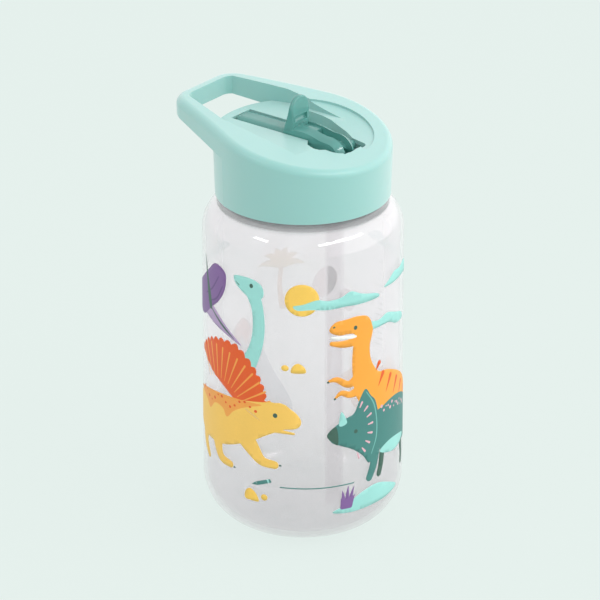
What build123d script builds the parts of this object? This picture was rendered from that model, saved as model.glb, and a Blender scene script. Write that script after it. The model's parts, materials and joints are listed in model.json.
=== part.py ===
"""Kids water bottle: clear wide-mouth bottle, screw lid with a carry loop, flip-up straw spout.

Frame: millimetres, +Z up, origin at the centre of the base.  The carry loop points to -X and the
spout's hinge is on the +X side, over the straw.
"""
from build123d import *
import math
import os

os.makedirs("parts", exist_ok=True)

# ------------------------------------------------------------------ driving dimensions
body_radius = 37.0            # bottle barrel
body_wall = 1.4
base_corner = 19.5            # round corner between base and barrel
base_thickness = 2.2
base_dish = 1.4               # rise of the shallow dome under the base
foot_inner_radius = 13.0
lid_seat = 130.2              # height of the lid's lower edge above the ground
shoulder_round = 13.0         # outer round of the shoulder
shoulder_drop = 13.7          # the shoulder's round starts this far below the lid
ring_radius = 31.6            # plain ring under the lid
ring_top_drop = 1.0
ring_bottom_drop = 3.6
neck_radius = 27.0
neck_bore = 25.3
neck_height = 8.5             # above the lid's lower edge

thread_pitch = 4.0
thread_base = 1.9
thread_crest = 0.8
neck_thread_turns = 1.55
neck_thread_start = 1.1       # height of the first turn above the lid's lower edge
lid_thread_turns = 1.0
lid_thread_start_deg = 216.0  # where the lid's ridge begins along the same helix

lid_radius = 32.15            # lid skirt at its lower edge
lid_draft = 1.8               # degrees, the skirt opens upwards
skirt_bore = 30.3
deck_thickness = 2.2
top_thickness = 3.6           # under the sloping top, enough to take the dish
deck_level = 23.1             # flat rear deck
top_height = 25.3             # sloping top at the lid's axis
top_slope = 0.168             # the top falls towards the hinge
top_sag = 0.001              # and curves slightly downwards
edge_round = 3.0

loop_end = -48.1              # outer end of the carry loop
loop_corner = 10.0
loop_half_width = 18.75
loop_bar = 3.8                # thickness of the loop in plan
recess_half_width = 19.0      # inner edge of the side straps
strap_bend_x = -22.0          # the side straps run straight from here to the flat deck's front
deck_front_x = 12.0
loop_root_x = -14.0           # the loop's underside leaves the skirt here
loop_under_low = 18.5         # and has this height there
loop_under_high = 24.5        # underside at the loop's outer end

hinge_x = 14.6
hinge_z = 18.6
ball_radius = 7.1             # round hinge end of the spout
spout_half_width = 5.0
trunnion_radius = 1.7
bearing_clearance = 0.05
channel_half_width = 5.5
channel_floor = 13.3
channel_end = -29.0
pocket_back = 7.6
pocket_front = 22.1
pocket_half_width = 10.6
pocket_roof = 19.0
bearing_wall = 2.0
core_wall = 1.6               # lid walls about the channel and the recesses
recess_floor = 17.4           # finger recess beside the spout
dish_x = 3.0                  # shallow dish around the finger recess
dish_y = 3.0
dish_radius = 21.7
dish_depth = 2.6
dish_edge = 0.9               # height of the dish's upright edge
ball_gap = 0.4                # free space around the spout's hinge end
swing_gap = 1.1               # and above the hinge, where the spout's raised part swings past
mouth_end = -28.2
mouth_low = 13.8
mouth_high = 23.6
bore_radius = 2.7
slot_half_width = 2.2

disc_low = 10.2               # inner disc of the lid insert
disc_high = 12.0
insert_radius = 30.2
insert_bore = 28.6
straw_radius = 3.5
straw_wall = 0.8
straw_foot = 7.0              # height of the straw's lower end above the ground
straw_top = 9.0
gasket_inner = 25.5
gasket_outer = 28.2
gasket_thickness = 1.5
gasket_lift = 0.1             # gap between the neck's end and the gasket
port_radius = 4.4             # hole in the insert for the straw's sleeve
vent_x = -14.0                # air valve in the insert
vent_y = 13.0
vent_stem = 1.2
vent_hole = 0.5
vent_hole_circle = 2.4


def at_lid(z):
    """Height above the ground of a height measured from the lid's lower edge."""
    return lid_seat + z


def top_z(x):
    """Height of the lid's sloping top above the lid's lower edge."""
    return top_height - top_slope * x - top_sag * x * x


def wedge(points, half_width=60.0):
    """A prism whose outline is given in the XZ plane, centred on the XZ plane."""
    with BuildPart() as prism:
        with BuildSketch(Plane.XZ):
            with BuildLine():
                Polyline(*points, close=True)
            make_face()
        extrude(amount=half_width, both=True)
    return prism.part


def under_top(x_low, x_high, z_low, drop=0.0):
    """Everything below the lid's sloping top, lowered by drop, down to z_low."""
    mid = (x_low + x_high) / 2
    with BuildPart() as prism:
        with BuildSketch(Plane.XZ):
            with BuildLine():
                ThreePointArc((x_low, at_lid(top_z(x_low) - drop)), (mid, at_lid(top_z(mid) - drop)),
                              (x_high, at_lid(top_z(x_high) - drop)))
                Polyline((x_high, at_lid(top_z(x_high) - drop)), (x_high, at_lid(z_low)),
                         (x_low, at_lid(z_low)), (x_low, at_lid(top_z(x_low) - drop)))
            make_face()
        extrude(amount=60.0, both=True)
    return prism.part


def loop_outline(radius):
    """Plan of the lid: a circle and the two rounded corners of the carry loop, joined by tangents."""
    corner = loop_corner
    centre_x = loop_end + loop_corner
    centre_y = loop_half_width - loop_corner
    reach = math.hypot(centre_x, centre_y)
    turn = math.atan2(centre_y, centre_x) - math.acos((radius - corner) / reach)
    start = (radius * math.cos(turn), radius * math.sin(turn))
    leave = (centre_x + corner * math.cos(turn), centre_y + corner * math.sin(turn))
    half_turn = (turn + math.pi) / 2
    mid = (centre_x + corner * math.cos(half_turn), centre_y + corner * math.sin(half_turn))
    end = (centre_x - corner, centre_y)

    def flip(point):
        return (point[0], -point[1])

    with BuildSketch() as plan:
        with BuildLine():
            ThreePointArc(flip(start), (radius, 0), start)
            Line(start, leave)
            ThreePointArc(leave, mid, end)
            Line(end, flip(end))
            ThreePointArc(flip(end), flip(mid), flip(leave))
            Line(flip(leave), flip(start))
        make_face()
    return plan.sketch


def loop_window():
    """Plan of the opening inside the carry loop, reaching forward to the flat rear deck's front."""
    inner_corner = loop_corner - loop_bar
    centre_x = loop_end + loop_corner
    centre_y = loop_half_width - loop_corner
    run = math.hypot(strap_bend_x - centre_x, recess_half_width - centre_y)
    lean = (math.atan2(recess_half_width - centre_y, strap_bend_x - centre_x)
            + math.asin(inner_corner / run))
    touch = (centre_x - inner_corner * math.sin(lean), centre_y + inner_corner * math.cos(lean))
    half_turn = (lean + math.pi / 2 + math.pi) / 2
    mid = (centre_x + inner_corner * math.cos(half_turn), centre_y + inner_corner * math.sin(half_turn))
    end = (centre_x - inner_corner, centre_y)
    bend = (strap_bend_x, recess_half_width)
    front = (deck_front_x, recess_half_width)

    def flip(point):
        return (point[0], -point[1])

    with BuildSketch() as plan:
        with BuildLine():
            Line(flip(end), end)
            ThreePointArc(end, mid, touch)
            Polyline(touch, bend, front, flip(front), flip(bend), flip(touch))
            ThreePointArc(flip(touch), flip(mid), flip(end))
        make_face()
    return plan.sketch


def ridge(inner_radius, outer_radius, turns, start_z, start_deg, outward):
    """A screw-thread ridge of trapezoid section, wide at its root and narrow at its crest."""
    root, crest = (inner_radius, outer_radius) if outward else (outer_radius, inner_radius)
    path = Helix(thread_pitch, thread_pitch * turns, root)
    with BuildSketch(Plane.XZ) as section:
        with BuildLine():
            Polyline((root, -thread_base / 2), (crest, -thread_crest / 2),
                     (crest, thread_crest / 2), (root, thread_base / 2), close=True)
        make_face()
    solid = sweep(section.sketch, path=path, is_frenet=True)
    return Pos(0, 0, at_lid(start_z)) * Rot(0, 0, start_deg) * solid


# ------------------------------------------------------------------ bottle
def make_bottle_body():
    shoulder_x = body_radius - shoulder_round
    shoulder_z = lid_seat - shoulder_drop
    rise = shoulder_drop - ring_bottom_drop - 1.0
    shoulder_end = (shoulder_x + math.sqrt(shoulder_round ** 2 - rise ** 2), shoulder_z + rise)
    inner_round = shoulder_round - body_wall
    inner_rise = math.sqrt(inner_round ** 2 - (neck_bore - shoulder_x) ** 2)
    inner_top = (neck_bore, shoulder_z + inner_rise)
    inner_corner = base_corner - body_wall
    floor_z = base_thickness
    wall_x = body_radius - body_wall
    ring_top = lid_seat - ring_top_drop

    def on_arc(centre, radius, degrees):
        angle = math.radians(degrees)
        return (centre[0] + radius * math.cos(angle), centre[1] + radius * math.sin(angle))

    dome_radius = (foot_inner_radius ** 2 + base_dish ** 2) / (2 * base_dish)
    half_angle = math.asin(foot_inner_radius / dome_radius) / 2
    dome_mid = (dome_radius * math.sin(half_angle),
                base_dish - dome_radius * (1 - math.cos(half_angle)))
    corner_centre = (body_radius - base_corner, base_corner)
    inner_centre = (wall_x - inner_corner, floor_z + inner_corner)
    shoulder_centre = (shoulder_x, shoulder_z)
    outer_mid = on_arc(shoulder_centre, shoulder_round, math.degrees(math.asin(rise / shoulder_round)) / 2)
    inner_mid = on_arc(shoulder_centre, inner_round,
                       math.degrees(math.asin(inner_rise / inner_round)) / 2)
    with BuildPart() as body:
        with BuildSketch(Plane.XZ):
            with BuildLine():
                ThreePointArc((0, base_dish), dome_mid, (foot_inner_radius, 0))
                Line((foot_inner_radius, 0), (corner_centre[0], 0))
                ThreePointArc((corner_centre[0], 0), on_arc(corner_centre, base_corner, -45),
                              (body_radius, base_corner))
                Line((body_radius, base_corner), (body_radius, shoulder_z))
                ThreePointArc((body_radius, shoulder_z), outer_mid, shoulder_end)
                Polyline(shoulder_end, (ring_radius, lid_seat - ring_bottom_drop),
                         (ring_radius, ring_top - 0.6), (ring_radius - 0.6, ring_top),
                         (neck_radius, ring_top), (neck_radius, lid_seat + neck_height - 0.4),
                         (neck_radius - 0.4, lid_seat + neck_height),
                         (neck_bore + 0.4, lid_seat + neck_height),
                         (neck_bore, lid_seat + neck_height - 0.4), inner_top)
                ThreePointArc(inner_top, inner_mid, (wall_x, shoulder_z))
                Line((wall_x, shoulder_z), (wall_x, inner_centre[1]))
                ThreePointArc((wall_x, inner_centre[1]), on_arc(inner_centre, inner_corner, -45),
                              (inner_centre[0], floor_z))
                Line((inner_centre[0], floor_z), (foot_inner_radius, floor_z))
                ThreePointArc((foot_inner_radius, floor_z), (dome_mid[0], floor_z + dome_mid[1]),
                              (0, floor_z + base_dish))
                Line((0, floor_z + base_dish), (0, base_dish))
            make_face()
        revolve(axis=Axis.Z)
    thread = ridge(neck_radius - 0.1, neck_radius + 1.1, neck_thread_turns, neck_thread_start, 0, True)
    return body.part + thread


# ------------------------------------------------------------------ lid
def skirt_cone(radius, low, high):
    """The lid's drafted round skirt between two heights above its lower edge."""
    growth = math.tan(math.radians(lid_draft))
    return Pos(0, 0, at_lid((low + high) / 2)) * Cone(radius + low * growth, radius + high * growth,
                                                      high - low)


def finger_recess_plan():
    """Plan of the finger recess beside the spout, on the +Y side."""
    with BuildSketch() as plan:
        with BuildLine():
            Polyline((-12.0, 0), (-12.0, 17.6), (-4.0, 16.8), (4.6, 14.4), (10.0, 12.9),
                     (14.5, pocket_half_width), (pocket_front, pocket_half_width - 0.9),
                     (pocket_front, 0), close=True)
        make_face()
        fillet(plan.vertices().filter_by_position(Axis.Y, 5.0, 40.0), 2.2)
    return plan.sketch


def near_notch_plan():
    """Plan of the small opening over the -Y trunnion."""
    with BuildSketch() as plan:
        with BuildLine():
            Polyline((6.6, 0), (6.6, -5.8), (8.6, -8.6), (12.6, -10.2), (14.6, -9.2),
                     (17.6, -4.6), (17.6, 0), close=True)
        make_face()
        fillet(plan.vertices().filter_by_position(Axis.Y, -12.0, -8.0), 1.0)
    return plan.sketch


def top_dish():
    """Shallow round dish in the sloping top, on the +Y side of the spout, with a low upright edge."""
    fall = dish_depth - dish_edge
    radius = (dish_radius ** 2 + fall ** 2) / (2 * fall)
    lean = math.atan(top_slope)
    rise = radius - dish_depth
    centre_z = at_lid(top_z(dish_x)) + rise * math.cos(lean)
    ball = Pos(dish_x + rise * math.sin(lean), dish_y, centre_z) * Sphere(radius)
    column = Pos(dish_x, dish_y, at_lid(top_height)) * Cylinder(dish_radius, 60)
    beside_spout = Pos(0, channel_half_width + 30, at_lid(top_height)) * Box(80, 60, 60)
    return ball & column & beside_spout


def make_lid_shell():
    block = extrude(loop_outline(lid_radius), amount=36.0, taper=-lid_draft)
    block = Pos(0, 0, lid_seat) * block
    block = block & under_top(-70, 50, -1.0)
    top_edges = [e for e in block.edges() if e.center().Z > at_lid(10) and e.length > 3]
    block = fillet(top_edges, edge_round)

    # the space under the carry loop, outside the round skirt
    slope = (loop_under_high - loop_under_low) / (loop_root_x - loop_end)
    outer_x = loop_end - 8.0
    under_loop = wedge([(outer_x, at_lid(-2)), (loop_root_x, at_lid(-2)),
                        (loop_root_x, at_lid(loop_under_low)),
                        (outer_x, at_lid(loop_under_low + slope * (loop_root_x - outer_x)))])
    block -= under_loop - skirt_cone(lid_radius, -3.0, 40.0)

    # the dish, the flat rear deck and the opening of the loop
    block -= top_dish()
    window = loop_window()
    deck_cut = Pos(0, 0, at_lid(deck_level)) * extrude(window, amount=20)
    gap_cut = Pos(0, 0, at_lid(0)) * extrude(window, amount=40) - skirt_cone(lid_radius, -3.0, 45.0)
    block = block - deck_cut - gap_cut

    # hollow inside: bore for the insert, and the space between insert and deck
    block -= Pos(0, 0, at_lid(disc_high / 2 - 0.5)) * Cylinder(skirt_bore, disc_high + 1.0)
    hollow = Pos(0, 0, at_lid(disc_high + 10)) * Cylinder(skirt_bore - 0.6, 20)
    hollow = hollow & under_top(-60, 36, disc_high - 3, top_thickness)
    hollow = hollow & wedge([(-60, at_lid(disc_high - 1)), (60, at_lid(disc_high - 1)),
                             (60, at_lid(deck_level - deck_thickness)),
                             (-60, at_lid(deck_level - deck_thickness))])
    core_length = pocket_back - channel_end + 2 * core_wall
    channel_core = Pos((pocket_back + channel_end) / 2, 0, at_lid(18)) * Box(
        core_length, 2 * (channel_half_width + core_wall), 24)
    pocket_core = Pos((pocket_back + pocket_front) / 2, 0, at_lid(18)) * Box(
        pocket_front - pocket_back + 2 * core_wall, 2 * (pocket_half_width + bearing_wall), 24)
    recess_core = Pos(0, 0, at_lid(recess_floor - core_wall)) * extrude(
        offset(finger_recess_plan(), core_wall), amount=20)
    notch_core = Pos(0, 0, at_lid(disc_high)) * extrude(offset(near_notch_plan(), core_wall), amount=20)
    block -= hollow - channel_core - pocket_core - recess_core - notch_core

    # openings in the top
    block -= Pos((pocket_back + 2 + channel_end) / 2, 0, at_lid(channel_floor + 12)) * Box(
        pocket_back + 2 - channel_end, 2 * channel_half_width, 24)
    block -= Pos((pocket_back + pocket_front) / 2, 0, at_lid((disc_high + pocket_roof) / 2)) * Box(
        pocket_front - pocket_back, 2 * pocket_half_width, pocket_roof - disc_high)
    block -= Pos(0, 0, at_lid(recess_floor)) * extrude(finger_recess_plan(), amount=20)
    block -= Pos(0, 0, at_lid(pocket_roof - 2)) * extrude(near_notch_plan(), amount=20)
    clear_radius = ball_radius + ball_gap
    block -= Pos(hinge_x, 0, at_lid(hinge_z)) * Sphere(clear_radius)
    above_hinge = Pos(hinge_x, 0, at_lid(hinge_z + 10)) * Box(40, 40, 20)
    block -= Pos(hinge_x, 0, at_lid(hinge_z)) * Sphere(ball_radius + swing_gap) & above_hinge
    block -= Pos(hinge_x + 1.5, 0, at_lid(hinge_z + 6)) * Box(
        2 * clear_radius - 3.0, 2 * (spout_half_width - 1.2), 12)
    block -= Pos(hinge_x, 0, at_lid(hinge_z)) * Rot(90, 0, 0) * Cylinder(
        trunnion_radius + bearing_clearance, 2 * (pocket_half_width + bearing_wall - 0.4))
    # air passage from the hollow into the channel
    block -= Pos(vent_x, channel_half_width + core_wall / 2, at_lid(18)) * Rot(90, 0, 0) * Cylinder(
        0.8, core_wall + 2)
    return block


def make_lid_insert():
    with BuildPart() as insert:
        with BuildSketch(Plane.XZ):
            with BuildLine():
                Polyline((0, at_lid(disc_low)), (insert_bore, at_lid(disc_low)), (insert_bore, at_lid(0.4)),
                         (insert_radius, at_lid(0.4)), (insert_radius, at_lid(disc_high)),
                         (0, at_lid(disc_high)), close=True)
            make_face()
        revolve(axis=Axis.Z)
    solid = insert.part
    disc_mid = at_lid((disc_low + disc_high) / 2)
    solid -= Pos(hinge_x, 0, disc_mid) * Cylinder(port_radius, 6)
    solid -= Pos(vent_x, vent_y, disc_mid) * Cylinder(vent_stem + 0.05, 6)
    for angle in (0, 90, 180, 270):
        hole_x = vent_x + vent_hole_circle * math.cos(math.radians(angle))
        hole_y = vent_y + vent_hole_circle * math.sin(math.radians(angle))
        solid -= Pos(hole_x, hole_y, disc_mid) * Cylinder(vent_hole, 6)
    start_z = neck_thread_start - thread_pitch / 2 + thread_pitch * lid_thread_start_deg / 360
    thread = ridge(insert_bore - 1.2, insert_bore + 0.1, lid_thread_turns, start_z,
                   lid_thread_start_deg, False)
    return solid + thread


def make_vent_valve():
    """Umbrella valve: a thin dome over four air holes, on a stem with a barb."""
    with BuildPart() as valve:
        with BuildSketch(Plane.XZ):
            with BuildLine():
                Polyline((0, 8.6), (0.9, 8.8), (1.6, 10.1), (vent_stem, 10.15), (vent_stem, 12.05),
                         (3.9, 12.05), (4.1, 12.3), (1.6, 13.3), (0, 13.5), close=True)
            make_face()
        revolve(axis=Axis.Z)
    return Pos(vent_x, vent_y, lid_seat) * valve.part


def make_neck_gasket():
    ring = Cylinder(gasket_outer, gasket_thickness) - Cylinder(gasket_inner, gasket_thickness)
    ring = fillet(ring.edges(), 0.45)
    return Pos(0, 0, at_lid(neck_height + gasket_lift + gasket_thickness / 2)) * ring


def make_spout_seal():
    """Silicone seat under the spout's round hinge end, with a sleeve that grips the straw."""
    seat = ball_radius + 0.3
    passage = 2.6
    flange = 5.2
    sleeve = 4.35

    def seat_z(r):
        return at_lid(hinge_z - math.sqrt(seat ** 2 - r ** 2))

    middle = (passage + flange) / 2
    with BuildPart() as seal:
        with BuildSketch(Plane.XZ):
            with BuildLine():
                ThreePointArc((passage, seat_z(passage)), (middle, seat_z(middle)),
                              (flange, seat_z(flange)))
                Polyline((flange, seat_z(flange)), (flange, at_lid(disc_high)),
                         (sleeve, at_lid(disc_high)), (sleeve, at_lid(disc_low)),
                         (sleeve + 0.6, at_lid(disc_low)), (sleeve + 0.6, at_lid(disc_low - 0.9)),
                         (sleeve, at_lid(disc_low - 1.5)), (sleeve, at_lid(1.0)),
                         (straw_radius, at_lid(1.0)), (straw_radius, at_lid(straw_top)),
                         (passage, at_lid(straw_top)), (passage, seat_z(passage)))
            make_face()
        revolve(axis=Axis.Z)
    return Pos(hinge_x, 0, 0) * seal.part


def make_straw():
    length = at_lid(straw_top) - straw_foot
    tube = Cylinder(straw_radius, length) - Cylinder(straw_radius - straw_wall, length)
    tube = Pos(hinge_x, 0, straw_foot + length / 2) * tube
    notch = Pos(hinge_x, 0, straw_foot) * Rot(90, 0, 0) * Cylinder(2.0, 10)
    return tube - notch


# ------------------------------------------------------------------ spout
def make_spout():
    """Flip spout in its folded place: mouthpiece to -X, thumb tab up, round hinge end over the straw."""
    with BuildPart() as arm:
        with BuildSketch(Plane.XZ):
            with BuildLine():
                Polyline((mouth_end, at_lid(mouth_low)), (mouth_end, at_lid(mouth_high)),
                         (1.0, at_lid(mouth_high)), (hinge_x, at_lid(mouth_high)),
                         (hinge_x, at_lid(mouth_low)), close=True)
            make_face()
        extrude(amount=spout_half_width, both=True)
    mouthpiece = arm.part
    long_edges = [e for e in mouthpiece.edges() if e.length > 20]
    mouthpiece = fillet(long_edges, 3.0)
    end_edges = mouthpiece.faces().sort_by(Axis.X)[0].edges()
    mouthpiece = fillet(end_edges, 1.1)

    # raised part between tab and hinge: turned about a line along X, so that it runs into the ball
    axis_z = at_lid(hinge_z)
    with BuildPart() as bridge:
        with BuildSketch(Plane.XZ):
            with BuildLine():
                Polyline((hinge_x, axis_z + ball_radius), (hinge_x, axis_z), (-1.6, axis_z),
                         (-1.6, axis_z + 8.0))
                Spline((-1.6, axis_z + 8.0), (2.0, axis_z + 8.4), (8.0, axis_z + 8.0),
                       (hinge_x, axis_z + ball_radius), tangents=[(1, 0.2), (1, 0)])
            make_face()
        revolve(axis=Axis((0, 0, axis_z), (1, 0, 0)))
    raised = bridge.part & Pos(0, 0, axis_z + 8) * Box(60, 2 * spout_half_width, 20)
    ball = Pos(hinge_x, 0, at_lid(hinge_z)) * Sphere(ball_radius)
    ball = ball & Pos(hinge_x, 0, at_lid(hinge_z)) * Box(40, 2 * spout_half_width, 40)

    with BuildPart() as tab:
        with BuildSketch(Plane.YZ.offset(-8.0)):
            with BuildLine():
                Polyline((-spout_half_width, at_lid(20)), (-spout_half_width, at_lid(32)))
                ThreePointArc((-spout_half_width, at_lid(32)), (0, at_lid(37)),
                              (spout_half_width, at_lid(32)))
                Polyline((spout_half_width, at_lid(32)), (spout_half_width, at_lid(20)),
                         (-spout_half_width, at_lid(20)))
            make_face()
        extrude(amount=12)
    with BuildPart() as tab_side:
        with BuildSketch(Plane.XZ):
            with BuildLine():
                Spline((-6.2, at_lid(20)), (-5.5, at_lid(23.8)), (-4.2, at_lid(28)),
                       (-3.2, at_lid(38)))
                Polyline((-3.2, at_lid(38)), (-1.1, at_lid(38)), (-0.6, at_lid(20)),
                         (-6.2, at_lid(20)))
            make_face()
        extrude(amount=20.0, both=True)
    thumb_tab = tab.part & tab_side.part
    rim = [e for e in thumb_tab.edges() if e.center().Z > at_lid(21) and e.length > 6]
    thumb_tab = fillet(rim, 0.7)

    trunnions = Pos(hinge_x, 0, at_lid(hinge_z)) * Rot(90, 0, 0) * Cylinder(
        trunnion_radius, 2 * (pocket_half_width + bearing_wall - 0.9))
    solid = mouthpiece + raised + ball + thumb_tab + trunnions

    # shallow groove between the two rails, and the deep slot over the hinge end
    floor = axis_z - 1.1
    with BuildPart() as groove:
        with BuildSketch(Plane.XZ):
            with BuildLine():
                Spline((0.6, floor + 8.3), (2.0, floor + 8.4), (8.0, floor + 8.0),
                       (hinge_x, floor + ball_radius), tangents=[(1, 0.1), (1, 0)])
                Polyline((hinge_x, floor + ball_radius), (hinge_x, at_lid(30)), (0.6, at_lid(30)),
                         (0.6, floor + 8.3))
            make_face()
        extrude(amount=slot_half_width, both=True)
    solid -= groove.part
    slot_floor = 4.2
    slot_ring = Cylinder(ball_radius + 2, 2 * slot_half_width) - Cylinder(slot_floor, 30)
    slot_ring = Pos(hinge_x, 0, at_lid(hinge_z)) * Rot(90, 0, 0) * slot_ring
    slot_sector = wedge([(hinge_x, at_lid(hinge_z)), (hinge_x, at_lid(40)), (hinge_x + 22, at_lid(40)),
                         (hinge_x + 22, at_lid(hinge_z + 3.5))])
    solid -= slot_ring & slot_sector
    slot_back = 7.0
    solid -= Pos((slot_back + hinge_x) / 2, 0, at_lid(hinge_z + slot_floor + 5)) * Box(
        hinge_x - slot_back, 2 * slot_half_width, 10)

    # bore from the mouthpiece to the front of the hinge end
    bore_length = hinge_x + ball_radius + 1 - (mouth_end - 1)
    bore_mid = (hinge_x + ball_radius + 1 + mouth_end - 1) / 2
    solid -= Pos(bore_mid, 0, at_lid(hinge_z)) * Rot(0, 90, 0) * Cylinder(bore_radius, bore_length)
    # small recess at the foot of the thumb tab
    solid -= Pos(-0.6, 0, at_lid(28.6)) * Rot(90, 0, 0) * Cylinder(1.3, 7.0)
    return solid


nodes = {
    "bottle_body": make_bottle_body,
    "lid_shell": make_lid_shell,
    "lid_insert": make_lid_insert,
    "neck_gasket": make_neck_gasket,
    "spout": make_spout,
    "spout_seal": make_spout_seal,
    "straw": make_straw,
    "vent_valve": make_vent_valve,
}

for name, make in nodes.items():
    part = make()
    part.label = name
    export_step(part, f"parts/{name}.step")
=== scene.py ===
"""Looks of a kids water bottle around its CAD frame: clear body, ink print, lid, spout and stage.

Lengths are metres in the frame of the CAD, +Z up, origin at the centre of the base.  The carry loop
points to -X and the spout's hinge is on the +X side.
"""
import json
import math

import bpy
import numpy as np
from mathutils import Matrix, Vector
from mathutils.geometry import delaunay_2d_cdt

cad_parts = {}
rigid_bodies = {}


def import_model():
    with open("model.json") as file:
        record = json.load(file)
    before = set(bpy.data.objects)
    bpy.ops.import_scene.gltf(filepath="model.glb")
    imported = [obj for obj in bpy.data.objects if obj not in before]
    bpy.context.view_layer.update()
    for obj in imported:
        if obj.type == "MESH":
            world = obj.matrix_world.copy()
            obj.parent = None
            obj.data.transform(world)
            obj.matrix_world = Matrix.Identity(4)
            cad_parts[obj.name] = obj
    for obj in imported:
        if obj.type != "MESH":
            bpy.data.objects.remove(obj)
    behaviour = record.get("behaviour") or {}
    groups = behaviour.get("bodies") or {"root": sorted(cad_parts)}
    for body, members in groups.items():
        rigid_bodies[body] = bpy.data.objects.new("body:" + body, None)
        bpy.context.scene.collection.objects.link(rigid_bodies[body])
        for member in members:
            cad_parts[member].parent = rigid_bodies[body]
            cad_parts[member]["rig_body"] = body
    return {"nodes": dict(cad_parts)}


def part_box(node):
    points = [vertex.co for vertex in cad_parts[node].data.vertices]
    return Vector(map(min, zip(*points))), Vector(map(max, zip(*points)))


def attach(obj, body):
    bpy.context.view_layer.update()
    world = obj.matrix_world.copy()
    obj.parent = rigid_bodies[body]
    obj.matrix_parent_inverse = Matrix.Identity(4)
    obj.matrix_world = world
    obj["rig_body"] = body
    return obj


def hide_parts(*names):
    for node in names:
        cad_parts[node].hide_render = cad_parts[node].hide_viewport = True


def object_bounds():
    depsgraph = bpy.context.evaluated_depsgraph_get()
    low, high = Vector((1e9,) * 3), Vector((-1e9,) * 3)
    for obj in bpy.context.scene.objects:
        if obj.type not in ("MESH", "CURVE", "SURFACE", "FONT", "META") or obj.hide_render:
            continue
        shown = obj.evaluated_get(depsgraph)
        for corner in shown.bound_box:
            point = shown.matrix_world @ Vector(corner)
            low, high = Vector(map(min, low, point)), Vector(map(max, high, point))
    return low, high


bl_info = {
    "name": "Kids water bottle",
    "version": (1, 0, 0),
    "blender": (4, 5, 0),
    "location": "3D View > Sidebar > Bottle",
    "description": "Builds the visible pieces and finishes of a clear bottle with a flip-spout lid",
    "category": "Object",
}

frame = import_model()
cad_low, cad_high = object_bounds()
body_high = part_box("bottle_body")[1]
lid_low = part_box("lid_shell")[0]
straw_low, straw_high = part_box("straw")


# ------------------------------------------------------------------ colours and shader nodes
def linear(code):
    """Linear colour of an sRGB hex code: c/12.92 up to 0.04045, above it ((c+0.055)/1.055) to the 2.4."""
    channels = np.array([int(code[i:i + 2], 16) for i in (1, 3, 5)]) / 255
    low, high = channels / 12.92, ((channels + 0.055) / 1.055) ** 2.4
    return (*np.where(channels <= 0.04045, low, high).tolist(), 1.0)


def add_node(tree, kind, inputs=None, **settings):
    """Adds a node, sets its own settings, and fills its inputs with values or with other nodes' outputs."""
    made = tree.nodes.new(kind)
    for key, value in settings.items():
        setattr(made, key, value)
    for key, value in (inputs or {}).items():
        if isinstance(value, bpy.types.NodeSocket):
            tree.links.new(value, made.inputs[key])
        else:
            made.inputs[key].default_value = value
    return made


def new_material(name):
    """An empty node material and its tree."""
    material = bpy.data.materials.new(name)
    material.use_nodes = True
    material.node_tree.nodes.clear()
    return material, material.node_tree


def show(tree, shader):
    """Sends a shader to the material's surface."""
    add_node(tree, "ShaderNodeOutputMaterial", {"Surface": shader})


def object_place(tree):
    """The place of a point in its own object's coordinates."""
    return add_node(tree, "ShaderNodeTexCoord").outputs["Object"]


def noise(tree, place, size, detail, distortion=0.0):
    """A noise from 0 to 1 whose largest features are about size wide."""
    return add_node(tree, "ShaderNodeTexNoise", {"Vector": place, "Scale": 1 / size, "Detail": detail,
                                                 "Distortion": distortion}).outputs["Fac"]


def bump(tree, height, strength, depth):
    """Normals bent as if the height, from 0 to 1, were depth metres high."""
    return add_node(tree, "ShaderNodeBump", {"Height": height, "Strength": strength,
                                             "Distance": depth}).outputs[0]


def maths(tree, operation, *values):
    """The output of a maths node on numbers or other outputs."""
    return add_node(tree, "ShaderNodeMath", dict(enumerate(values)), operation=operation).outputs[0]


def ranged(tree, value, low, high):
    """low + (high - low) value."""
    return add_node(tree, "ShaderNodeMapRange", {"Value": value, "To Min": low, "To Max": high}).outputs[0]


def blend(tree, share, first, second):
    """The colour first + (second - first) share."""
    return add_node(tree, "ShaderNodeMix", {0: share, 6: first, 7: second}, data_type="RGBA").outputs[2]


def layered(tree, share, first, second):
    """A shader that treats a share of the light as second does, and the rest as first does."""
    return add_node(tree, "ShaderNodeMixShader", {0: share, 1: first, 2: second}).outputs[0]


def dimmed(colour, share):
    """An opaque colour of that share of the light."""
    return tuple(c * share for c in colour[:3]) + (1,)


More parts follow.
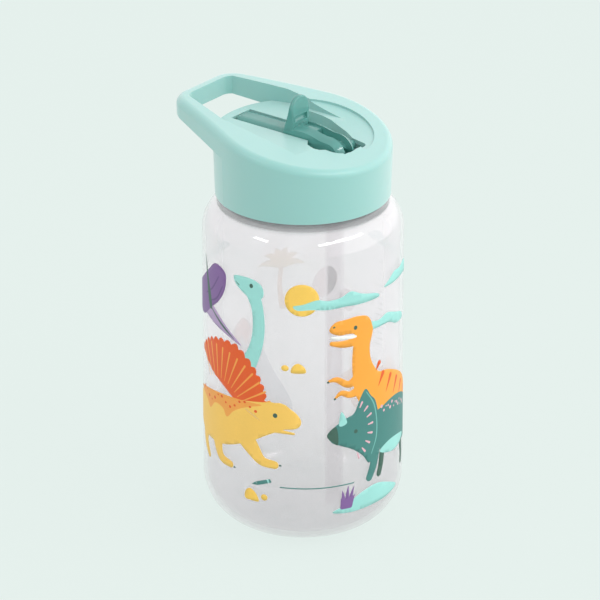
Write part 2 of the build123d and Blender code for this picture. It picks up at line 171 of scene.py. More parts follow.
def clear_wall(name, colour, haze_facing, haze_edge, roughness, wave, darker_below, shaded_neck_above):
    """A thin clear moulded wall.  A share of it is grey haze, from haze_facing to haze_edge as (1 - cos)^2.2
    grows, and the rest lets light straight through.  Gloss lies over both by Schlick's rule,
    F0 + (1 - F0) (1 - cos)^5.  It is darker towards the bottom, below the height darker_below.  Above the
    height shaded_neck_above, in the neck, it is hazier, and greyer by painted shade under the lid's edge."""
    head_on = 0.049  # F0 = ((n - 1) / (n + 1))^2 for an index n of 1.57
    neck_edge, neck_shade_haze, heel_shade, spread_on = 0.0008, 0.3, 0.8, 0.6
    material, tree = new_material(name)
    place = object_place(tree)
    height = add_node(tree, "ShaderNodeSeparateXYZ", {0: place}).outputs["Z"]
    # the wall's tint and haze grow darker towards the bottom, below the height given
    heel = add_node(tree, "ShaderNodeMapRange", {"Value": height, "From Min": darker_below, "From Max": 0.0},
                    interpolation_type="SMOOTHSTEP").outputs[0]
    # painted shade: above this height the neck's haze turns grey, standing for the shadow under the lid's
    # edge
    neck_shade = add_node(tree, "ShaderNodeMapRange", {"Value": height, "From Min": shaded_neck_above,
                                                  "From Max": shaded_neck_above + neck_edge}).outputs[0]
    grazing = add_node(tree, "ShaderNodeLayerWeight", {"Blend": 0.5}).outputs["Facing"]
    mirror = maths(tree, "MULTIPLY_ADD", maths(tree, "POWER", grazing, 5.0), 1 - head_on, head_on)
    hazy = ranged(tree, maths(tree, "POWER", grazing, 2.2), haze_facing, haze_edge)
    hazy = maths(tree, "MULTIPLY_ADD", neck_shade, neck_shade_haze, hazy)
    tint = blend(tree, heel, (0.99, 0.975, 0.983, 1), (0.955, 0.942, 0.95, 1))
    see_through = add_node(tree, "ShaderNodeBsdfTransparent", {"Color": tint})
    shade = blend(tree, heel, colour, dimmed(colour, heel_shade))
    # the neck's grey is painted shade under the lid's edge
    grey = blend(tree, neck_shade, shade, linear("#8C8E90"))
    haze = layered(tree, spread_on, add_node(tree, "ShaderNodeBsdfDiffuse", {"Color": grey}).outputs[0],
                   add_node(tree, "ShaderNodeBsdfTranslucent", {"Color": grey}).outputs[0])
    wall = layered(tree, hazy, see_through.outputs[0], haze)
    # the wall's thickness varies over about 25 mm, which bends a highlight softly
    ripple = bump(tree, noise(tree, place, 0.025, 1.0), wave, 0.0006)
    gloss = add_node(tree, "ShaderNodeBsdfGlossy", {"Color": (1, 1, 1, 1), "Roughness": roughness,
                                                    "Normal": ripple})
    show(tree, layered(tree, mirror, wall, gloss.outputs[0]))
    return material


def satin_polypropylene(name, colour, grain):
    """Injection-moulded polypropylene from a spark-eroded mould: a soft satin sheen that breaks up finely."""
    material, tree = new_material(name)
    place = object_place(tree)
    # pigment flow: slow drift of tone over about 30 mm
    tone = blend(tree, noise(tree, place, 0.03, 2.0, 0.6), dimmed(colour, 0.955), colour)
    # mould grain of the given size, read as tiny changes of height and gloss
    pits = noise(tree, place, grain, 2.0)
    skin = add_node(tree, "ShaderNodeBsdfPrincipled", {
        "Base Color": tone, "Roughness": ranged(tree, pits, 0.34, 0.46), "IOR": 1.49,
        "Subsurface Weight": 0.08, "Subsurface Scale": 0.002, "Sheen Weight": 0.45, "Sheen Roughness": 0.7,
        "Coat Weight": 0.45, "Coat Roughness": 0.35, "Normal": bump(tree, pits, 0.25, 0.00003)})
    show(tree, skin.outputs[0])
    return material


def tinted_copolyester(name, colour):
    """Tinted clear copolyester from a polished mould: light passes into it, so it glows at thin places
    and turns dark in deep ones, with a sharp gloss."""
    material, tree = new_material(name)
    place = object_place(tree)
    tone = blend(tree, noise(tree, place, 0.008, 1.0), dimmed(colour, 0.86), colour)
    ripple = bump(tree, noise(tree, place, 0.004, 0.0), 0.1, 0.0001)
    skin = add_node(tree, "ShaderNodeBsdfPrincipled", {
        "Base Color": tone, "Roughness": 0.14, "IOR": 1.57, "Transmission Weight": 0.45, "Normal": ripple})
    show(tree, skin.outputs[0])
    return material


def silicone_rubber(name, colour):
    """Moulded food silicone: milky, soft in its shading and nearly without a highlight."""
    material, tree = new_material(name)
    bloom = noise(tree, object_place(tree), 0.002, 3.0)
    skin = add_node(tree, "ShaderNodeBsdfPrincipled", {
        "Base Color": blend(tree, bloom, dimmed(colour, 0.94), colour),
        "Roughness": ranged(tree, bloom, 0.5, 0.68), "IOR": 1.41,
        "Subsurface Weight": 0.3, "Subsurface Scale": 0.0015})
    show(tree, skin.outputs[0])
    return material


def screen_ink(name, white_share, roughness, clear_share, glow_share):
    """Screen-printed ink film: its colour comes from the attribute `ink`, the mesh of the screen leaves a
    fine weave of tone, and white_share is how much of the white underbase hides the colour.  The film lets
    clear_share of the light straight through and spreads glow_share of the rest on to its other side."""
    material, tree = new_material(name)
    place = object_place(tree)
    ink = add_node(tree, "ShaderNodeAttribute", attribute_name="ink").outputs["Color"]
    # a real screen has 0.1 mm threads, drawn here at 0.4 mm, the finest that still shows
    weave = noise(tree, place, 0.0004, 1.0)
    both = maths(tree, "MULTIPLY", weave, noise(tree, place, 0.012, 2.0))
    density = add_node(tree, "ShaderNodeMapRange", {"Value": both, "From Max": 0.5, "To Min": 0.9,
                                                    "To Max": 1.0})
    tone = add_node(tree, "ShaderNodeVectorMath", {0: ink, 3: density.outputs[0]}, operation="SCALE")
    seen = blend(tree, white_share, tone.outputs[0], linear("#FCFCFA"))
    skin = add_node(tree, "ShaderNodeBsdfPrincipled", {
        "Base Color": seen, "Roughness": roughness, "IOR": 1.5, "Normal": bump(tree, weave, 0.15, 0.00002)})
    glow = add_node(tree, "ShaderNodeBsdfTranslucent", {"Color": seen})
    film = layered(tree, glow_share, skin.outputs[0], glow.outputs[0])
    thin = add_node(tree, "ShaderNodeBsdfTransparent")
    show(tree, layered(tree, clear_share, film, thin.outputs[0]))
    return material


# ------------------------------------------------------------------ meshes from arrays
def add_piece(name, points, faces, material, body=None):
    """Puts an array of points and its faces into a new object, shaded smooth up to 32 degree edges."""
    mesh = bpy.data.meshes.new(name)
    mesh.from_pydata(points.reshape(-1, 3).tolist(), [], faces)
    mesh.validate()
    mesh.shade_smooth()
    mesh.set_sharp_from_angle(angle=math.radians(32))
    mesh.materials.append(material)
    piece = bpy.data.objects.new(name, mesh)
    bpy.context.scene.collection.objects.link(piece)
    if body:
        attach(piece, body)
    return piece


def arc(centre, radius, start, end, count):
    """Points centre + radius (cos a, sin a), with a from start to end in degrees."""
    a = np.radians(np.linspace(start, end, count))
    return np.column_stack((centre[0] + radius * np.cos(a), centre[1] + radius * np.sin(a)))


def turned_grid(profile, segments, centre=(0.0, 0.0)):
    """A profile (r, z) turned about a vertical line: (cx + r cos a, cy + r sin a, z), where a runs round in
    equal steps of 2 pi / segments."""
    a = np.linspace(0, 2 * np.pi, segments, endpoint=False)
    r, z = profile[:, :1], profile[:, 1:]
    return np.stack((centre[0] + r * np.cos(a), centre[1] + r * np.sin(a), z + 0 * a), axis=-1)


def turned_faces(rows, segments, ring):
    """Quads between neighbouring rows of a turned grid.  A ring joins its last row to its first; else the
    first and last rows are poles, whose quads are cut down to triangles on one shared point."""
    index = np.arange(rows * segments).reshape(rows, segments)
    if ring:
        index = np.vstack((index, index[:1]))
    else:
        index[0], index[-1] = index[0, 0], index[-1, 0]
    a, d = index[:-1], index[1:]
    quads = np.stack((a, np.roll(a, -1, 1), np.roll(d, -1, 1), d), axis=-1).reshape(-1, 4)
    first, last = quads[:, 0] == quads[:, 1], quads[:, 2] == quads[:, 3]
    whole = quads[~first & ~last]
    return whole.tolist() + quads[first][:, [0, 2, 3]].tolist() + quads[last][:, [0, 1, 2]].tolist()


def smooth_copy(node, material):
    """A copy of a CAD node's mesh whose equal corners are merged and whose thin slivers are dropped, so
    that its rounds shade smoothly; flat faces keep their own direction by weighted normals."""
    source = frame["nodes"][node].data
    corners = np.empty(len(source.vertices) * 3)
    source.vertices.foreach_get("co", corners)
    source.calc_loop_triangles()
    triangles = np.empty(len(source.loop_triangles) * 3, int)
    source.loop_triangles.foreach_get("vertices", triangles)
    _, keep, merged = np.unique(np.round(corners.reshape(-1, 3) / 1e-7), axis=0, return_index=True,
                                return_inverse=True)
    triangles = merged.ravel()[triangles].reshape(-1, 3)
    a, b, c = triangles.T
    triangles = triangles[(a != b) & (b != c) & (c != a)]
    piece = add_piece(node + "_finished", corners.reshape(-1, 3)[keep], triangles.tolist(), material)
    weighted = piece.modifiers.new("even_shading", "WEIGHTED_NORMAL")
    weighted.keep_sharp = True
    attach(piece, frame["nodes"][node]["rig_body"])
    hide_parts(node)
    return piece


# ------------------------------------------------------------------ outlines of the print, in millimetres
def spans(p0, p1, p2, p3, steps):
    """Catmull-Rom spans from P1 to P2: half of 2 P1 + (P2 - P0) t + (2 P0 - 5 P1 + 4 P2 - P3) t^2
    + (3 P1 - P0 - 3 P2 + P3) t^3, with t from 0 to 1."""
    t = np.linspace(0, 1, steps, endpoint=False)[None, :, None]
    curve = 2 * p1 + (p2 - p0) * t + (2 * p0 - 5 * p1 + 4 * p2 - p3) * t ** 2
    return (curve + (3 * p1 - p0 - 3 * p2 + p3) * t ** 3) / 2


def smooth_loop(points, steps=6):
    """A closed smooth curve through the points."""
    p1 = np.array(points, float)[:, None]
    return spans(np.roll(p1, 1, 0), p1, np.roll(p1, -1, 0), np.roll(p1, -2, 0), steps).reshape(-1, 2)


def ellipse(centre, half_width, half_height, tilt=0.0, count=28):
    """Ellipse with half axes a and b, turned by tilt degrees: centre + turn (a cos u, b sin u)."""
    u = np.linspace(0, 2 * np.pi, count, endpoint=False)
    c, s = math.cos(math.radians(tilt)), math.sin(math.radians(tilt))
    x, y = half_width * np.cos(u), half_height * np.sin(u)
    return np.column_stack((centre[0] + c * x - s * y, centre[1] + s * x + c * y))


def limb(path, widths, steps=7):
    """A tapering band with round ends: a smooth line through the path, the width between its points eased
    in the same way, both sides set off along the line's normal, and half circles at the ends."""
    points = np.array(path, float)
    full = np.column_stack((points, widths))
    full = np.vstack((2 * full[0] - full[1], full, 2 * full[-1] - full[-2]))
    curve = spans(*(full[i:len(full) - 3 + i][:, None] for i in range(4)), steps).reshape(-1, 3)
    curve = np.vstack((curve, full[-2]))
    run = np.gradient(curve[:, :2], axis=0)
    run /= np.linalg.norm(run, axis=1, keepdims=True)
    side = np.column_stack((-run[:, 1], run[:, 0])) * curve[:, 2:] / 2
    turn = np.linspace(0, np.pi, 9)[1:-1, None]
    head = curve[-1, :2] + side[-1] * np.cos(turn) + run[-1] * curve[-1, 2] / 2 * np.sin(turn)
    tail = curve[0, :2] - side[0] * np.cos(turn) - run[0] * curve[0, 2] / 2 * np.sin(turn)
    return np.vstack(((curve[:, :2] + side), head, (curve[:, :2] - side)[::-1], tail))


def fan(centre, radii, start, end, scallops, depth):
    """A scalloped sail: its radius goes from radii[0] through radii[1], at 0.45 of the turn, to radii[2],
    less depth (1 - |sin(pi scallops u)|), with u from 0 to 1, and a straight line closes it."""
    u = np.linspace(0, 1, scallops * 8 + 1)
    a = np.radians(start + (end - start) * u)
    r = np.interp(u, (0, 0.45, 1), radii) - depth * (1 - np.abs(np.sin(np.pi * scallops * u)))
    return np.column_stack((centre[0] + r * np.cos(a), centre[1] + r * np.sin(a)))


def strip(start, end, width):
    """A straight stroke of even width: both ends, each set off by half the width along the normal."""
    start, end = np.array(start, float), np.array(end, float)
    run = (end - start) / np.linalg.norm(end - start)
    side = np.array((-run[1], run[0])) * width / 2
    return np.array((start + side, start - side, end - side, end + side))


def new_print():
    """An empty list of (ink, outline) pairs, and the function that adds outlines of one ink to it."""
    shapes = []

    def put(ink, *outlines):
        shapes.extend((ink, outline) for outline in outlines)

    return shapes, put


def print_front():
    """Figures on the side that faces -Y and +X.  Each is (ink, outline); later ones lie on earlier ones.
    The first number runs round the barrel from the middle of this side, the second is the height."""
    shapes, put = new_print()

    # sun and clouds
    put("sun", ellipse((-0.4, 102.6), 6.3, 6.3, count=48))
    put("mint", smooth_loop([(-3.6, 100.2), (0, 101), (5, 102.6), (9, 102), (14, 102.6), (18, 104.4),
                             (23, 102.4), (30, 100.6), (31, 99), (26, 98.6), (20, 98.6), (15, 98.8),
                             (9, 98.4), (3, 98.8), (-2, 98.6)]))
    put("mint", smooth_loop([(21, 90.2), (26, 90.4), (31, 89.6), (36, 90.8), (42, 88.8), (49, 86), (50, 83.4),
                             (43, 84), (37, 86.6), (30, 86.8), (24, 87.2)]))
    put("mint", smooth_loop([(34, 101.6), (37, 103.4), (41, 105.4), (46, 105), (52, 105.6), (58, 103),
                             (57, 100), (50, 101), (44, 101.2), (39, 101.2)]))
    put("sun", ellipse((-6.6, 75.6), 1.4, 1.2),
        smooth_loop([(-4.4, 74), (-3.8, 76.4), (-1.8, 77.6), (0.4, 76.2), (1, 74), (-1.6, 73.6)]))
    # flying reptile: two wings, a slim body and a long beak
    put("lilac", smooth_loop([(-50, 88), (-44, 92.5), (-39, 91.6), (-31, 86.4), (-24, 81.4), (-31, 83.4),
                              (-40, 85.6)]))
    put("purple", smooth_loop([(-58, 86), (-57, 95), (-51, 99.5), (-44, 105), (-38.6, 109.4), (-34, 109.2),
                               (-31.6, 106.8), (-32.4, 101), (-36, 95.4), (-41, 91.4), (-49, 85.4)]))
    put("grape", limb([(-46, 95), (-40.5, 99), (-36, 105)], [0.5, 0.7, 0.4]),
        limb([(-44, 92.6), (-37.5, 96), (-33.6, 102)], [0.4, 0.7, 0.4]))
    put("pine", limb([(-46.6, 110), (-45.2, 103), (-43.2, 95.5), (-42, 91)], [0.2, 1.4, 2.6, 2.2]),
        limb([(-41, 90.6), (-33, 86), (-27.5, 83)], [0.5, 0.9, 0.2]))
    # long-necked walker behind the sail
    put("mint", limb([(-19.2, 104), (-17.2, 98), (-16.6, 91), (-17.4, 84), (-20, 77), (-25, 69)],
                     [6, 4.8, 4.8, 5, 6, 8.5]),
        smooth_loop([(-27.4, 108.4), (-23.4, 109.2), (-18.6, 108.8), (-15.2, 106.6), (-14.9, 102.6),
                     (-18.4, 100.8), (-22.4, 102.4), (-26.4, 105.4)]))
    put("pine", ellipse((-19.6, 106.2), 0.75, 0.85), limb([(-26.6, 106.4), (-25, 105.4)], [0.2, 0.4]))
    # sail-backed crawler
    put("flame", fan((-36, 52), (25, 31, 22), 128, 2, 17, 1.3))
    for angle in range(22, 124, 9):
        a = math.radians(angle)
        put("sun_deep", limb([(-36 + 13 * math.cos(a), 52 + 13 * math.sin(a)),
                              (-36 + 25.5 * math.cos(a), 52 + 25.5 * math.sin(a))], [0.25, 0.75]))
    put("yellow",
        limb([(-66, 44), (-58, 46), (-48, 46.5), (-36, 48), (-25, 51), (-16, 54), (-9, 56)],
             [5, 10, 17, 19, 17, 13.5, 11]),
        smooth_loop([(-14, 60.4), (-8.6, 61), (-3.6, 58.6), (-0.8, 55), (-1.6, 52), (-5.6, 51), (-11, 51.6)]),
        limb([(-13, 50.4), (-8, 50), (-3.4, 49.4)], [2.2, 1.5, 0.9]),
        limb([(-24, 47), (-19.6, 41.6), (-15.6, 37.2), (-10.6, 36.2)], [9, 6.4, 4, 3.2]),
        limb([(-37.4, 43), (-37, 37), (-34.6, 33), (-29.6, 32)], [9, 5.4, 3.8, 2.8]),
        limb([(-48, 41), (-47.6, 35), (-44.4, 30.4)], [7, 4.4, 2.6]))
    put("sun_deep", smooth_loop([(-54, 54.6), (-44, 57.4), (-34, 59), (-24, 59.6), (-15.6, 59.6), (-20, 58),
                                 (-24, 56.4), (-28, 54), (-31.6, 50.6), (-34, 53.4), (-39, 53.6), (-43, 50),
                                 (-46.6, 52.6)]))
    u = np.linspace(0, 1, 15)
    for s, z, size in zip(-51 + 33 * u, 54.6 + 3.6 * u + 1.7 * np.sin(17 * u),
                          0.4 + 0.35 * np.sin(23 * u) ** 2):
        put("flame", ellipse((s, z), size, size * 0.9, count=14))
    put("pine", ellipse((-10.3, 56.2), 0.85, 0.95), ellipse((-8.4, 36.2), 0.5, 0.35),
        ellipse((-27.6, 31.4), 0.5, 0.35))
    # upright hunter behind the horned one
    put("orange",
        limb([(24, 87), (22.6, 80), (23.4, 72), (27, 64), (35, 59), (45, 54), (57, 46), (68, 40)],
             [8, 7.6, 9.4, 14, 18, 17, 11, 4]),
        smooth_loop([(9.6, 90), (11.8, 93), (16, 93.6), (21, 94), (25.6, 92.6), (27.6, 88), (25.6, 83.4),
                     (20.6, 82.2), (19.4, 87.2), (13, 87.8)]),
        limb([(20.4, 84.2), (15, 84), (10.6, 84.8)], [3.6, 2.8, 1.8]),
        limb([(22.6, 70.6), (17.4, 67.6), (12.6, 70.2), (9.6, 70)], [5, 2.9, 2.2, 1]),
        limb([(23.6, 65), (18, 63.4), (14.4, 64.6), (12, 63)], [5, 2.8, 2, 0.8]))
    for s, z, lean, size in ((31.4, 72.4, 55, 3), (33.6, 67.6, 60, 5), (38.6, 65, 62, 6.4), (43.6, 62, 62, 6),
                             (48.6, 58.4, 60, 5.6), (53.4, 54, 56, 4.4)):
        a = math.radians(lean)
        put("flame", limb([(s, z), (s - size * math.cos(a), z - size * math.sin(a))], [1.9, 0.3]))
    put("white", smooth_loop([(10.6, 87.6), (19.4, 86.8), (19.6, 85.6), (11.4, 86.2)]))
    put("pine", ellipse((20, 89.6), 0.75, 0.85), ellipse((11.4, 91.2), 0.5, 0.3, 20),
        ellipse((9.2, 69.6), 0.5, 0.4), ellipse((11.8, 62.6), 0.5, 0.4))
    # horned grazer
    put("teal",
        limb([(33, 45.6), (41, 45.4), (50, 43), (60, 39), (68, 34)], [17, 20, 18.6, 13, 5]),
        smooth_loop([(9, 48.6), (12, 51.6), (16, 54), (19.6, 55.6), (22, 60.6), (24.6, 64), (27, 60.8),
                     (29.6, 57.6), (31.4, 50), (31.4, 43), (29.4, 36.4), (26.4, 33.6), (23.4, 37.4),
                     (19, 41), (13.6, 43.6), (10.6, 45.2)]),
        limb([(30, 38.6), (28.6, 32), (26.6, 27.6)], [4.4, 3.8, 3.2]))
    put("pine", smooth_loop([(8.8, 48.2), (11.8, 51.4), (13, 48.8), (13, 44), (10.8, 45.4)]),
        limb([(33.4, 36), (32.6, 31), (31.6, 27.6)], [3, 2.8, 2.6]),
        limb([(49, 34), (50, 29), (49.6, 25.6)], [3.4, 3, 2.6]), ellipse((20.3, 48), 0.8, 0.8))
    put("mint", smooth_loop([(32, 36.2), (37, 38.6), (44, 38.4), (52, 36), (48, 33.8), (40, 33.4)]),
        smooth_loop([(13.4, 51.8), (14.4, 57), (16.6, 52.8), (15.4, 51.4)]))
    put("mint_edge", limb([(25, 62.6), (28.6, 57), (30.2, 50), (30, 43), (27.6, 37)],
                          [0.3, 0.5, 0.5, 0.5, 0.3]))
    for angle in range(62, -76, -19):
        a = math.radians(angle)
        put("pink", limb([(18.6 + 7.4 * math.cos(a), 48.4 + 10 * math.sin(a)),
                          (18.6 + 9.4 * math.cos(a), 48.4 + 12 * math.sin(a))], [0.5, 0.9]))
    u = np.linspace(0, 1, 16)
    for s, z, size in zip(33 + 21 * u, 54.2 - 5.5 * u ** 2 - 2.2 * np.sin(19 * u) ** 2,
                          0.35 + 0.35 * np.cos(11 * u) ** 2):
        put("pink", ellipse((s, z), size, size, count=12))
    # ground: rocks, grass, a patch, and the line to write on with a small pencil
    put("sun",
        smooth_loop([(-22.6, 20.6), (-22.4, 23.6), (-20.4, 25), (-18, 23.4), (-16.8, 20.4), (-19.6, 20.2)]),
        ellipse((-14.6, 22.4), 1.3, 1.25))
    put("mint", smooth_loop([(11, 16.6), (17, 19.4), (23, 22.6), (30, 24), (37, 22), (44, 18.2), (37, 16.4),
                             (28, 15.8), (18, 15.4)]))
    for lean, tall in ((-34, 4.6), (-16, 7.2), (3, 8.4), (20, 8.2), (36, 5.6)):
        a = math.radians(90 - lean)
        put("purple", limb([(16.4 + lean / 22, 18.2),
                            (16.6 + 0.7 * tall * math.cos(a), 18.2 + 0.6 * tall * math.sin(a)),
                            (16.8 + tall * math.cos(a), 18.2 + tall * math.sin(a))], [1.7, 1.3, 0.15]))
    put("teal", limb([(-8.4, 27.4), (5, 27.2), (19.4, 27.4)], [0.45, 0.45, 0.45]),
        strip((-17.6, 27.6), (-12, 29.6), 1.5),
        np.array(((-18.1, 28.3), (-19.7, 26.9), (-17.3, 26.9))))
    put("mint", strip((-13.4, 29.1), (-12.7, 29.35), 1.5))
    return shapes


def print_back():
    """Figures on the far side, seen faintly through the wall: a fiery hill, a palm, two eggs, a row of plain
    measuring ticks, leaves, clouds, a patch of ground and a small spiny animal."""
    shapes, put = new_print()
    put("slate", smooth_loop([(-112, 24), (-104, 44), (-97, 60), (-92, 66), (-86, 60), (-80, 42), (-72, 24),
                              (-92, 21)]))
    put("flame", smooth_loop([(-95.6, 61), (-92, 66.4), (-88, 61.4), (-89.6, 56), (-91.6, 59), (-93.4, 55)]))
    for lean in (-70, -42, -14, 14, 42, 70):
        a = math.radians(90 - lean)
        tip = (-108 + 9.6 * math.cos(a), 84 + 8.4 * math.sin(a) - 0.02 * abs(lean))
        put("sun", limb([(-108, 84), (-108 + 5 * math.cos(a), 84 + 6 * math.sin(a)), tip], [1.4, 2.6, 0.3]))
    put("orange", limb([(-108, 84), (-107.4, 76), (-108.6, 68)], [1.6, 1.8, 2.6]))
    put("pink", ellipse((108, 78), 4.2, 7, 24), ellipse((99, 72), 3, 4.6, -12))
    for count in range(15):
        reach = 4.4 if count % 5 == 0 else 2.4
        put("teal", strip((82, 58 + 2.4 * count), (82 + reach, 58 + 2.4 * count), 0.5))
    put("teal", limb([(58, 70), (61, 76), (60, 82)], [1.4, 5, 0.6]),
        limb([(59, 84), (62, 90), (60, 96)], [1.2, 5, 0.6]),
        limb([(66, 62), (70, 68), (76, 71)], [1, 5, 0.6]))
    put("mint", smooth_loop([(64, 100), (70, 103), (77, 102), (84, 104), (90, 101), (84, 99), (75, 98.6)]),
        smooth_loop([(-86, 98), (-80, 101), (-73, 100), (-67, 102), (-62, 99), (-68, 97), (-78, 96.6)]),
        smooth_loop([(66, 22), (76, 26), (88, 26.4), (98, 23), (88, 20), (74, 19.6)]))
    put("orange", limb([(100, 40), (92, 42), (84, 44), (78, 50)], [3, 11, 9, 4]),
        limb([(88, 38), (87, 31), (84, 28)], [4.4, 3, 2]), limb([(96, 37), (96, 31), (93, 28)], [4.4, 3, 2]),
        ellipse((75, 52), 4.4, 3.2, 20))
    put("flame", limb([(92, 47), (90.6, 43)], [1.8, 0.3]), limb([(87, 48), (86, 44.4)], [1.8, 0.3]))
    put("pine", ellipse((74.4, 53), 0.7, 0.7))
    return shapes


# ------------------------------------------------------------------ sizes and colours
def length(name, description, default):
    """A setting in metres."""
    return bpy.props.FloatProperty(name=name, description=description, default=default, unit="LENGTH",
                                   precision=6)


def angle(name, description, degrees):
    """A setting shown in degrees."""
    return bpy.props.FloatProperty(name=name, description=description, default=math.radians(degrees),
                                   unit="ROTATION")


def number(name, description, default):
    """A setting without a unit."""
    return bpy.props.FloatProperty(name=name, description=description, default=default)


def colour_property(name, description, code):
    """A colour setting whose default is an sRGB hex code."""
    return bpy.props.FloatVectorProperty(name=name, description=description, default=linear(code), size=4,
                                         subtype="COLOR", min=0, max=1)


class BottleSizes(bpy.types.PropertyGroup):
    """Sizes of the clear body, its neck thread, the straw and the print."""
    barrel: length("Barrel radius", "Outer radius of the straight wall", round(body_high.x, 4))
    wall: length("Wall", "Thickness of the clear wall", 0.0014)
    base_round: length("Base round", "Radius between base and barrel", 0.0195)
    base_thickness: length("Base thickness", "Thickness of the base", 0.0022)
    foot: length("Foot radius", "Radius where the domed base starts", 0.013)
    dome: length("Base dome", "Rise of the dome under the base", 0.0014)
    lid_seat: length("Lid seat", "Height of the lid's lower edge", round(lid_low.z, 4))
    shoulder_round: length("Shoulder round", "Outer radius of the shoulder", 0.013)
    shoulder_drop: length("Shoulder drop", "Start of the shoulder below the lid", 0.0137)
    ring: length("Neck ring", "Radius of the plain ring under the lid", 0.0316)
    neck: length("Neck radius", "Outer radius of the neck", 0.027)
    neck_bore: length("Neck bore", "Inner radius of the neck", 0.0253)
    pitch: length("Thread pitch", "Rise of the neck thread in one turn", 0.004)
    thread_turns: number("Thread turns", "Turns of the neck thread", 1.55)
    straw_wall: length("Straw wall", "Thickness of the straw's wall", 0.0008)
    film: length("Ink film", "Thickness of the printed film", 0.00003)
    front_turn: angle("Print turn", "Direction of the print's middle", -52)


class BottleColours(bpy.types.PropertyGroup):
    """Colours of the mouldings and of the inks."""
    body: colour_property("Clear body", "Grey of the clear wall", "#FFFDFF")
    lid: colour_property("Lid", "Mint polypropylene of the lid", "#82BCB6")
    insert: colour_property("Lid insert", "Natural polypropylene inside the lid", "#D9E6E3")
    spout: colour_property("Spout", "Tint of the flip spout", "#74BDB5")
    straw: colour_property("Straw", "Milky tube", "#F2F4F4")
    silicone: colour_property("Silicone", "Seals and valve", "#E4E8E6")
    sun: colour_property("Sun ink", "Warm yellow", "#FFD25E")
    yellow: colour_property("Yellow ink", "Crawler's yellow", "#FFD064")
    sun_deep: colour_property("Deep yellow ink", "Spots and sail ribs", "#F9A94A")
    orange: colour_property("Orange ink", "Hunter's orange", "#FFAD3C")
    flame: colour_property("Flame ink", "Sail and stripes", "#EC5E17")
    mint: colour_property("Mint ink", "Clouds and walker", "#A4E3DC")
    mint_edge: colour_property("Pale teal ink", "Fine edge line", "#79BDB4")
    teal: colour_property("Teal ink", "Horned grazer", "#468882")
    pine: colour_property("Pine ink", "Eyes and beaks", "#3F6557")
    purple: colour_property("Purple ink", "Wing and grass", "#86629F")
    grape: colour_property("Dark purple ink", "Wing ribs", "#6B4C86")
    lilac: colour_property("Lilac ink", "Lower wing", "#BBA2C8")
    pink: colour_property("Pink ink", "Dashes and spots", "#E9B9C4")
    slate: colour_property("Slate ink", "Hill on the back", "#A9BCC6")
    white: colour_property("White ink", "Teeth", "#F6F6F2")


class StageSizes(bpy.types.PropertyGroup):
    """Camera, floor and light."""
    azimuth: angle("Azimuth", "Camera's direction round the bottle", 38)
    elevation: angle("Elevation", "Camera's height above the horizon", 23.9)
    distance: length("Distance", "Camera's distance", 2.0)
    width: length("Frame width", "Width seen at the bottle's axis", 0.2208)
    aim: length("Aim height", "Height on the axis at mid frame", 0.0865)
    aside: length("Aim aside", "Axis to the right of mid frame", 0.0011)
    floor: colour_property("Floor", "Pale floor and backdrop", "#E5F0EC")
    ambient: number("Ambient", "Light from all round", 0.88)
    key: number("Key", "Soft light from the right", 0.95)
    rim: number("Rim", "Soft light from behind", 0.2)


# ------------------------------------------------------------------ clear pieces
def clear_body(s, material):
    """The blown bottle: one profile (r, z) from the middle of its domed base out, up the outside, over the
    lip and down the inside, turned about the axis."""
    # heights below the lid's seat: the end of the shoulder, and the plain ring's lower and upper edge
    shoulder_end, ring_low, ring_high = 0.0046, 0.0036, 0.001
    ring_break, lip_break, segments = 0.0006, 0.0004, 256
    seat, top = s.lid_seat, body_high.z
    shoulder = (s.barrel - s.shoulder_round, seat - s.shoulder_drop)
    rise = s.shoulder_drop - shoulder_end
    steep = math.degrees(math.asin(rise / s.shoulder_round))
    inner = s.shoulder_round - s.wall
    inner_steep = math.degrees(math.acos((s.neck_bore - shoulder[0]) / inner))
    corner = (s.barrel - s.base_round, s.base_round)
    floor_corner = (corner[0], s.base_thickness + s.base_round - s.wall)
    # the dome is a cap of a ball: R = (foot^2 + dome^2) / (2 dome)
    ball = (s.foot ** 2 + s.dome ** 2) / (2 * s.dome)
    half = math.degrees(math.asin(s.foot / ball))
    dome = arc((0, s.dome - ball), ball, 90, 90 - half, 10)
    ring_top = seat - ring_high
    lip = np.array((
        (s.ring, seat - ring_low), (s.ring, ring_top - ring_break), (s.ring - ring_break, ring_top),
        (s.neck, ring_top), (s.neck, top - lip_break), (s.neck - lip_break, top),
        (s.neck_bore + lip_break, top), (s.neck_bore, top - lip_break)))
    profile = np.vstack((
        dome, arc(corner, s.base_round, -90, 0, 33), arc(shoulder, s.shoulder_round, 0, steep, 17), lip,
        arc(shoulder, inner, inner_steep, 0, 21), arc(floor_corner, s.base_round - s.wall, 0, -90, 33),
        (dome + (0, s.base_thickness))[::-1]))
    profile[0, 0] = profile[-1, 0] = 0.0
    return add_piece("clear_bottle", turned_grid(profile, segments),
                     turned_faces(len(profile), segments, False), material, "bottle")


def neck_thread(s, material):
    """The neck's thread: a trapezoid (dr, dz) carried up a helix, r = neck + dr, a = 2 pi turns t and
    z = start + pitch turns t + dz, with t from 0 to 1.  Its height is eased in over the first twelfth of t
    and out over the last."""
    root, crest, root_half, crest_half, start = -0.0002, 0.0011, 0.00095, 0.0004, 0.0011
    t = np.linspace(0, 1, 221)[:, None]
    section = np.array(((root, -root_half), (crest, -crest_half), (crest, crest_half), (root, root_half)))
    ease = np.clip(np.minimum(t, 1 - t) * 12, 0.02, 1)
    r = s.neck + section[:, 0] * np.where(section[:, 0] > 0, ease, 1)
    a = 2 * np.pi * s.thread_turns * t
    z = s.lid_seat + start + s.pitch * s.thread_turns * t + section[:, 1]
    grid = np.stack((r * np.cos(a), r * np.sin(a), z), axis=-1)
    index = np.arange(t.size * 4).reshape(-1, 4)
    low, high = index[:-1], index[1:]
    sides = np.stack((low, high, np.roll(high, -1, 1), np.roll(low, -1, 1)), axis=-1).reshape(-1, 4)
    ends = [index[0].tolist(), index[-1][::-1].tolist()]
    return add_piece("neck_thread", grid, sides.tolist() + ends, material, "bottle")


